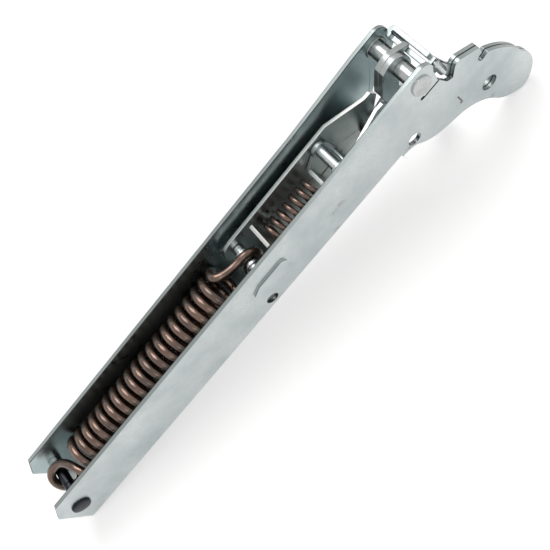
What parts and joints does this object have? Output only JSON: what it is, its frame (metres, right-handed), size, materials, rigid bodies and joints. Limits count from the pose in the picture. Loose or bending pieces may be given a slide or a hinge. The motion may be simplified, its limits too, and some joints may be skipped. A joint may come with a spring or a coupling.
{
  "type": "oven door hinge",
  "caption": "Sheet steel oven door hinge: long sprung channel case, hooked claw, sprung slider and a swinging two-layer lever arm.",
  "frame": {"origin": "on the back face of the case's web, at mid width, level with the middle fixing hole", "axes": "+X from the case's tail to the claw, +Y from the near wall with the claw to the far wall, +Z from the back face to the open side"},
  "size_m": [0.2672, 0.0294, 0.0701],
  "materials": {
    "zinc_sheet": "zinc plated sheet, satin",
    "dark_steel": "black oxide, satin",
    "plain_steel": "bright steel",
    "spring_steel": "drawn spring steel, heat-toned brown"
  },
  "bodies": {
    "case": {"case_web": "zinc_sheet", "case_near_wall": "zinc_sheet", "case_far_wall": "zinc_sheet", "claw_backing": "zinc_sheet", "main_pin": "plain_steel", "spacer_near": "plain_steel", "spacer_far": "plain_steel", "washer_near": "plain_steel", "washer_far": "plain_steel", "tail_pin": "dark_steel", "tail_bush": "plain_steel", "main_spring": "spring_steel"},
    "lever": {"lever_plate_near": "zinc_sheet", "lever_plate_far": "zinc_sheet", "lever_rivet_1": "plain_steel", "lever_rivet_2": "plain_steel"},
    "hook_carriage": {"hook_pin": "plain_steel", "hook_spool": "plain_steel"},
    "slider": {"slider_frame": "zinc_sheet", "crank_pin": "plain_steel", "small_spring": "spring_steel"},
    "shoe": {"shoe_bracket": "zinc_sheet", "shoe_pin": "plain_steel", "shoe_cross_pin": "plain_steel"}
  },
  "joints": [
    {"name": "lever_pivot", "type": "hinge", "parent": "case", "child": "lever", "pos_m": [0.0995, 0, 0.0245], "axis": [0, -1, 0], "range_deg": [0, 84], "stiffness_Nm_per_rad": 3, "springref_deg": -34.38},
    {"name": "carriage_slide", "type": "slide", "parent": "case", "child": "hook_carriage", "axis": [1, 0, 0], "range_m": [0, 0.03], "deforming": ["main_spring"]},
    {"name": "slider_tilt", "type": "hinge", "parent": "hook_carriage", "child": "slider", "pos_m": [0.006, 0, 0.0166], "axis": [0, 1, 0], "range_deg": [0, 2.35]},
    {"name": "shoe_slide", "type": "slide", "parent": "slider", "child": "shoe", "axis": [-1, 0, 0], "range_m": [0, 0.008], "stiffness_N_per_m": 1500, "springref_m": -0.003, "deforming": ["small_spring"]}
  ],
  "couplings": [
    {"joint": "carriage_slide", "follows": "lever_pivot", "m_per_rad": 0.02046},
    {"joint": "slider_tilt", "follows": "lever_pivot", "ratio": 0.02797}
  ]
}
